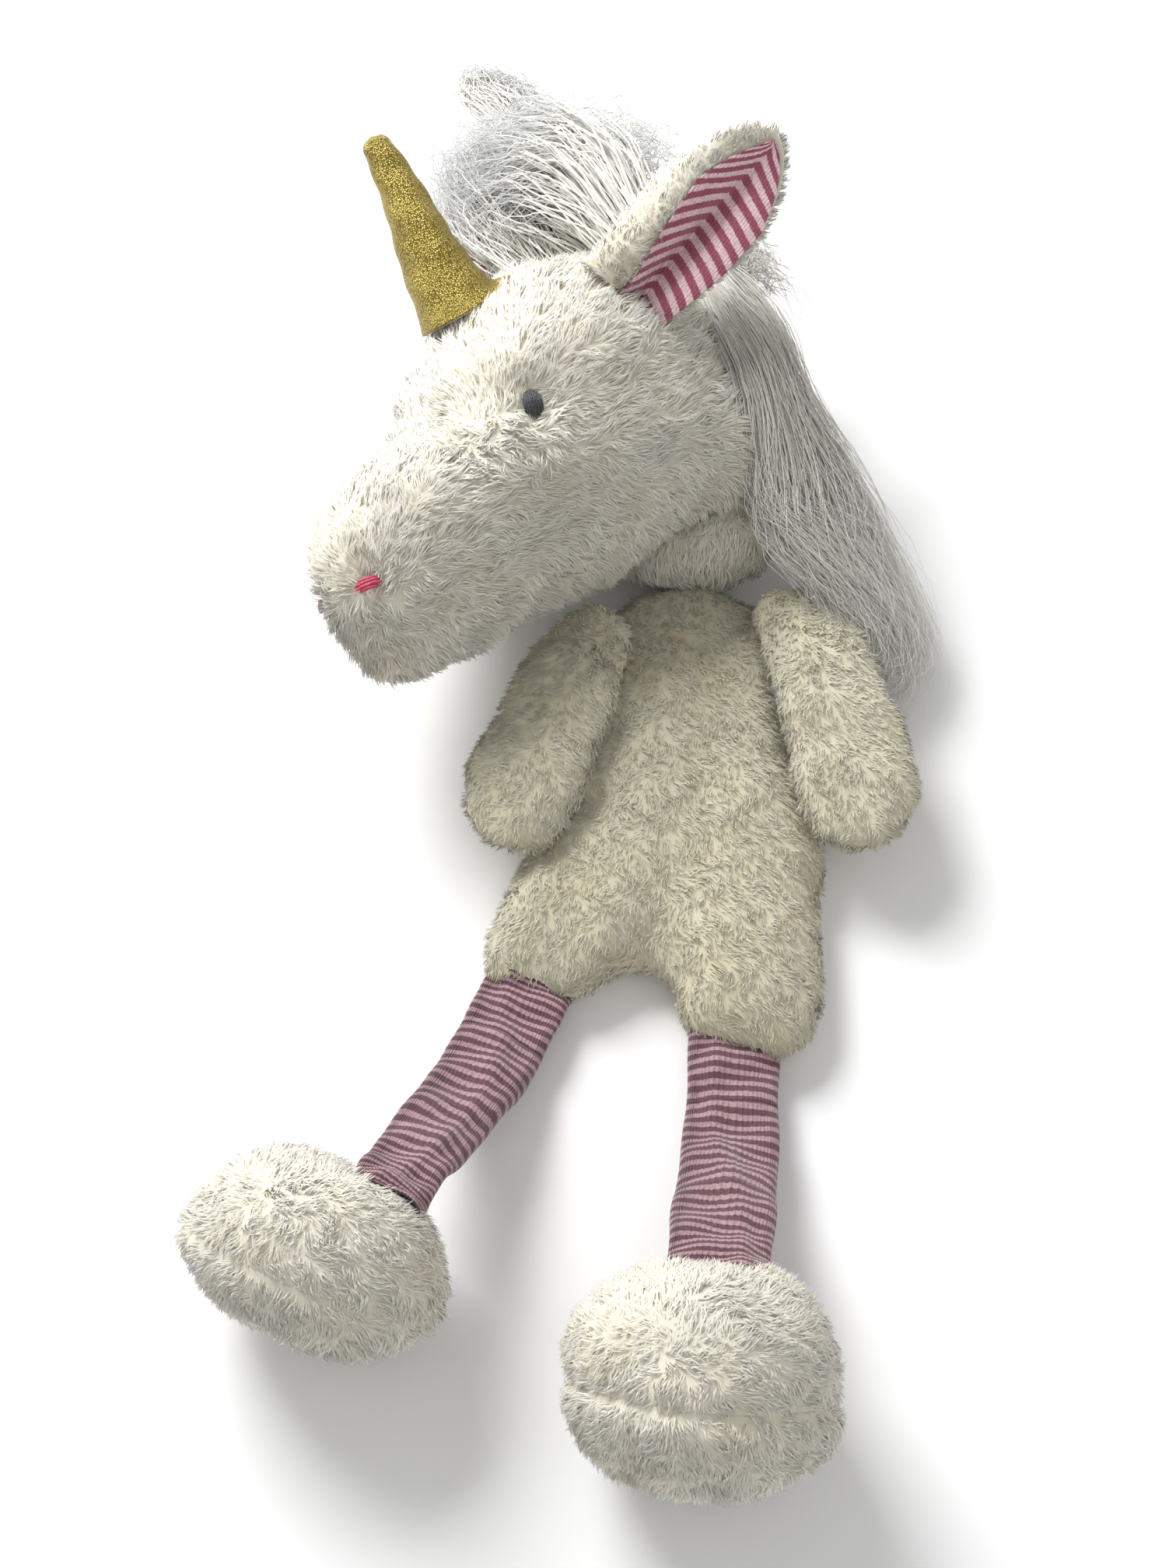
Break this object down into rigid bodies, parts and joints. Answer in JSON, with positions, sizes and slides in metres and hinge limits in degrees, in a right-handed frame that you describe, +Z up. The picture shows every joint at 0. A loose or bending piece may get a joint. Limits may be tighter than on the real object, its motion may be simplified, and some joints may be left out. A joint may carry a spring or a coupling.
{
  "type": "plush unicorn",
  "caption": "Floppy plush unicorn lying on its back, with a big stuffed head, gold horn, long hair mane, slack striped jersey legs and ball feet.",
  "frame": {"origin": "middle of the flat patch on the back panel that the toy rests on", "axes": "+Z up from the surface it lies on, +Y towards the head, +X towards the toy's own left"},
  "size_m": [0.2651, 0.5795, 0.1439],
  "materials": {
    "plush": "soft short cream pile",
    "filling": "white polyester fibre",
    "gold_knit": "metallic gold knit",
    "stripe_knit": "fine striped rib jersey",
    "ear_knit": "fine striped jersey",
    "hair": "long silky fibre",
    "strip": "woven tape",
    "eye_thread": "dark embroidery thread",
    "nostril_thread": "satin stitch thread"
  },
  "bodies": {
    "torso": {"torso_front_panel": "plush", "torso_back_panel": "plush", "torso_filling": "filling", "mane_hair_ends": "hair"},
    "neck": {"neck_skin": "plush", "neck_filling": "filling"},
    "head": {"head_left_side": "plush", "head_right_side": "plush", "head_gusset": "plush", "head_filling": "filling", "eye_left": "eye_thread", "eye_right": "eye_thread", "nostril_left": "nostril_thread", "nostril_right": "nostril_thread", "horn_cover": "gold_knit", "horn_filling": "filling", "forelock_hair": "hair", "mane_strip": "strip", "mane_hair": "hair"},
    "ear_left": {"ear_left_back": "plush", "ear_left_lining": "ear_knit"},
    "ear_right": {"ear_right_back": "plush", "ear_right_lining": "ear_knit"},
    "arm_left": {"arm_left_front_panel": "plush", "arm_left_back_panel": "plush", "arm_left_filling": "filling"},
    "arm_right": {"arm_right_front_panel": "plush", "arm_right_back_panel": "plush", "arm_right_filling": "filling"},
    "upper_leg_left": {"leg_left_upper": "stripe_knit"},
    "lower_leg_left": {"leg_left_lower": "stripe_knit"},
    "foot_left": {"foot_left_top_panel": "plush", "foot_left_sole_panel": "plush", "foot_left_filling": "filling"},
    "upper_leg_right": {"leg_right_upper": "stripe_knit"},
    "lower_leg_right": {"leg_right_lower": "stripe_knit"},
    "foot_right": {"foot_right_top_panel": "plush", "foot_right_sole_panel": "plush", "foot_right_filling": "filling"}
  },
  "joints": [
    {"name": "neck_tilt", "type": "hinge", "parent": "torso", "child": "neck", "pos_m": [0.009, 0.09, 0.02], "axis": [-0.5584, 0.249, -0.7913], "range_deg": [0, 20]},
    {"name": "head_turn", "type": "hinge", "parent": "neck", "child": "head", "pos_m": [0.0053, 0.1206, 0.0254], "axis": [-0.5412, 0.6136, 0.5749], "range_deg": [0, 45]},
    {"name": "ear_left_fold", "type": "hinge", "parent": "head", "child": "ear_left", "pos_m": [-0.011, 0.159, 0.105], "axis": [0.7713, -0.3898, -0.5031], "range_deg": [0, 35], "stiffness_Nm_per_rad": 0.05},
    {"name": "ear_right_fold", "type": "hinge", "parent": "head", "child": "ear_right", "pos_m": [-0.062, 0.184, 0.034], "axis": [0.5524, -0.0329, 0.8329], "range_deg": [0, 35], "stiffness_Nm_per_rad": 0.05},
    {"name": "arm_left_lift", "type": "hinge", "parent": "torso", "child": "arm_left", "pos_m": [0.045, 0.07, 0.03], "axis": [-0.9659, -0.2588, 0], "range_deg": [0, 75]},
    {"name": "arm_right_swing", "type": "hinge", "parent": "torso", "child": "arm_right", "pos_m": [-0.024, 0.061, 0.034], "axis": [0, 0, -1], "range_deg": [0, 25]},
    {"name": "hip_left_lift", "type": "hinge", "parent": "torso", "child": "upper_leg_left", "pos_m": [0.022, -0.099, 0.009], "axis": [-0.9975, 0.0712, 0], "range_deg": [0, 40]},
    {"name": "knee_left_bend", "type": "hinge", "parent": "upper_leg_left", "child": "lower_leg_left", "pos_m": [0.019, -0.141, 0.016], "axis": [-0.9919, 0.1272, 0], "range_deg": [0, 40]},
    {"name": "ankle_left_tilt", "type": "hinge", "parent": "lower_leg_left", "child": "foot_left", "pos_m": [0.014, -0.18, 0.044], "axis": [-0.9919, 0.1272, 0], "range_deg": [-15, 10]},
    {"name": "hip_right_lift", "type": "hinge", "parent": "torso", "child": "upper_leg_right", "pos_m": [-0.051, -0.079, 0.009], "axis": [-0.9149, 0.4036, 0], "range_deg": [0, 40]},
    {"name": "knee_right_bend", "type": "hinge", "parent": "upper_leg_right", "child": "lower_leg_right", "pos_m": [-0.066, -0.113, 0.016], "axis": [-0.8898, 0.4563, 0], "range_deg": [0, 40]},
    {"name": "ankle_right_tilt", "type": "hinge", "parent": "lower_leg_right", "child": "foot_right", "pos_m": [-0.086, -0.152, 0.044], "axis": [-0.8898, 0.4563, 0], "range_deg": [-15, 10]}
  ]
}
